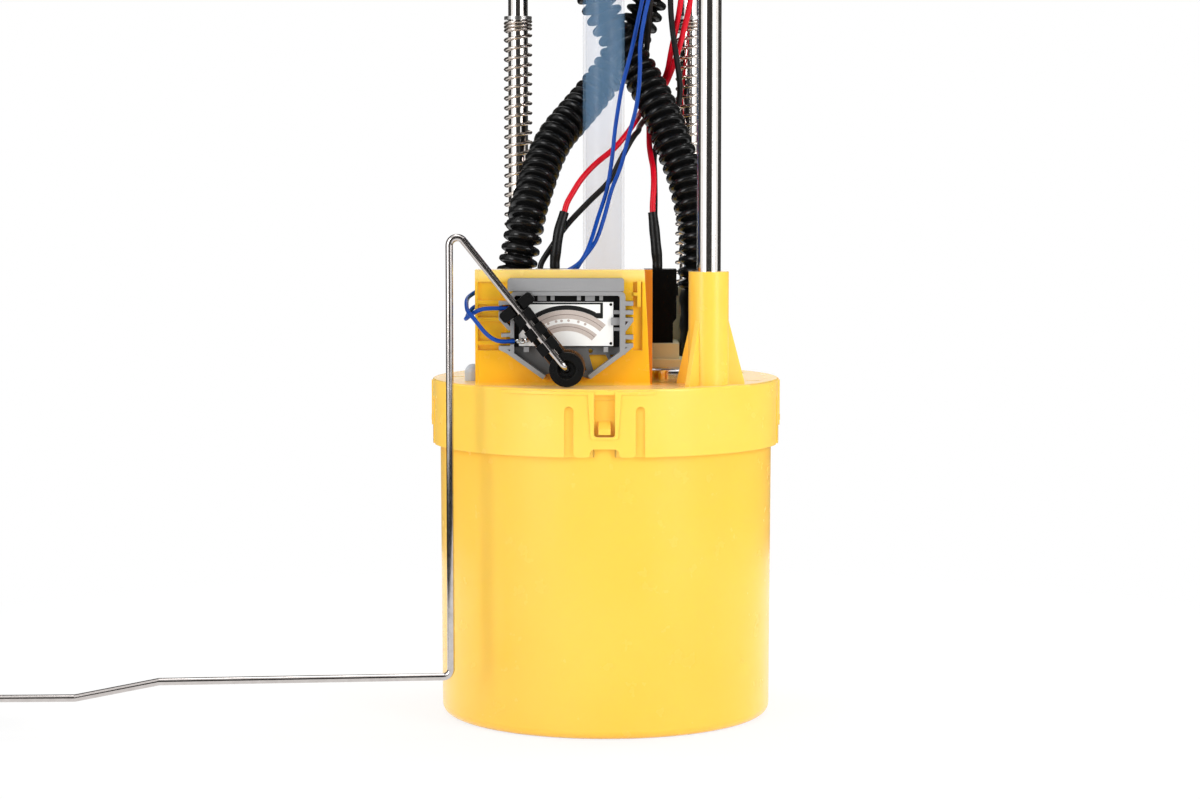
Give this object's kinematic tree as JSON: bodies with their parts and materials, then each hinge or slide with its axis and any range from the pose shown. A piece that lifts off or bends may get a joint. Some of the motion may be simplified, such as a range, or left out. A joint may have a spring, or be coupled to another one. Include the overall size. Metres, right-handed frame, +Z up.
{
  "type": "fuel pump module",
  "caption": "In-tank fuel pump module: amber reservoir bucket with clipped lid, twin electric pumps, level sender with float arm, corrugated hoses and a sprung tank flange.",
  "frame": {"origin": "centre of the reservoir's flat base", "axes": "+Z up along the reservoir's axis to the tank flange, -Y the side with the level sender, -X the side that the float arm reaches to"},
  "size_m": [0.303, 0.14, 0.3315],
  "materials": {
    "amber_acetal_bucket": "moulded amber acetal, slightly translucent",
    "amber_acetal_lid": "moulded amber acetal, slightly translucent",
    "valve_rubber": "matt",
    "vent_plastic": "satin grey",
    "sender_plastic": "moulded grey, satin",
    "backing_plastic": "black",
    "card_ceramic": "white ceramic",
    "track_ink": "grey-brown thick film",
    "tinned_terminals": "tinned",
    "arm_wire": "drawn stainless wire",
    "holder_plastic": "moulded black",
    "wiper_copper": "rolled copper alloy",
    "float_foam": "closed-cell nitrile foam",
    "clip_steel": "stamped spring steel",
    "can_steel": "bright plated steel",
    "magnet": "sintered ferrite",
    "inlet_plastic": "grey filled plastic",
    "strainer_mesh": "fine white nylon mesh",
    "isolator_rubber": "matt",
    "cap_plastic": "cream acetal",
    "brush_carbon": "carbon",
    "plug_plastic": "black nylon",
    "armature_steel": "laminated core",
    "impeller_plastic": "filled phenolic",
    "poppet_plastic": "black",
    "cuff_rubber": "shrunk sleeve, semi-gloss",
    "hose_nylon": "corrugated black nylon",
    "sleeve_shrink": "heat-shrink tube",
    "lead_red": "fluoropolymer insulation",
    "lead_black": "fluoropolymer insulation",
    "lead_blue": "fluoropolymer insulation",
    "flange_acetal": "moulded black acetal",
    "seal_rubber": "matt nitrile",
    "rod_steel": "ground bright steel",
    "spring_steel": "bright spring wire",
    "clear_tube": "milky clear polymer",
    "nipple_plastic": "moulded black",
    "connector_plastic": "moulded grey",
    "pin_brass": "tinned brass"
  },
  "bodies": {
    "reservoir": {"reservoir_bucket": "amber_acetal_bucket", "reservoir_lid": "amber_acetal_lid", "fill_valve": "valve_rubber", "vent_cap": "vent_plastic", "sender_frame": "sender_plastic", "card_backing": "backing_plastic", "resistor_card": "card_ceramic", "resistor_tracks": "track_ink", "card_terminals": "tinned_terminals", "pump_can_left": "can_steel", "pump_can_right": "can_steel", "pump_magnets_left": "magnet", "pump_magnets_right": "magnet", "inlet_cover_left": "inlet_plastic", "inlet_cover_right": "inlet_plastic", "strainer_left": "strainer_mesh", "strainer_right": "strainer_mesh", "pump_isolators": "isolator_rubber", "end_cap_left": "cap_plastic", "end_cap_right": "cap_plastic", "pump_brushes": "brush_carbon", "power_plug_left": "plug_plastic", "power_plug_right": "plug_plastic", "hose_cuffs_lower": "cuff_rubber", "hose_left": "hose_nylon", "hose_right": "hose_nylon", "splice_sleeves": "sleeve_shrink", "red_lead_left": "lead_red", "red_lead_right": "lead_red", "black_lead_left": "lead_black", "black_lead_right": "lead_black", "blue_lead_front": "lead_blue", "blue_lead_rear": "lead_blue", "spring_left": "spring_steel", "spring_right": "spring_steel"},
    "flange": {"flange_plate": "flange_acetal", "flange_seal": "seal_rubber", "guide_rod_left": "rod_steel", "guide_rod_right": "rod_steel", "guide_rod_front": "rod_steel", "rod_clips": "clip_steel", "spring_collars": "clip_steel", "return_tube": "clear_tube", "outlet_nipples": "nipple_plastic", "return_nipple": "nipple_plastic", "connector_housing": "connector_plastic", "connector_pins": "pin_brass", "hose_cuffs_upper": "cuff_rubber"},
    "float_arm": {"float_arm": "arm_wire", "arm_holder": "holder_plastic", "wiper_plate": "wiper_copper", "float_clip": "clip_steel"},
    "float": {"float": "float_foam"},
    "rotor_left": {"armature_left": "armature_steel", "impeller_left": "impeller_plastic"},
    "rotor_right": {"armature_right": "armature_steel", "impeller_right": "impeller_plastic"},
    "valve_left": {"check_valve_left": "poppet_plastic"},
    "valve_right": {"check_valve_right": "poppet_plastic"}
  },
  "joints": [
    {"name": "flange_slide", "type": "slide", "parent": "reservoir", "child": "flange", "axis": [0, 0, -1], "range_m": [0, 0.04], "stiffness_N_per_m": 500, "springref_m": -0.03, "deforming": ["hose_left", "hose_right", "splice_sleeves", "red_lead_left", "red_lead_right", "black_lead_left", "black_lead_right", "blue_lead_front", "blue_lead_rear", "spring_left", "spring_right"]},
    {"name": "arm_pivot", "type": "hinge", "parent": "reservoir", "child": "float_arm", "pos_m": [-0.013, -0.048, 0.1225], "axis": [0, 1, 0], "range_deg": [0, 65]},
    {"name": "float_swivel", "type": "hinge", "parent": "float_arm", "child": "float", "pos_m": [-0.222, -0.03, 0.0132], "axis": [0, 1, 0], "continuous": true},
    {"name": "rotor_left_spin", "type": "hinge", "parent": "reservoir", "child": "rotor_left", "pos_m": [-0.025, -0.009, 0.07], "axis": [0, 0, 1], "continuous": true},
    {"name": "rotor_right_spin", "type": "hinge", "parent": "reservoir", "child": "rotor_right", "pos_m": [0.025, -0.009, 0.07], "axis": [0, 0, 1], "continuous": true},
    {"name": "valve_left_lift", "type": "slide", "parent": "reservoir", "child": "valve_left", "axis": [0, 0, 1], "range_m": [0, 0.0015]},
    {"name": "valve_right_lift", "type": "slide", "parent": "reservoir", "child": "valve_right", "axis": [0, 0, 1], "range_m": [0, 0.0015]}
  ]
}
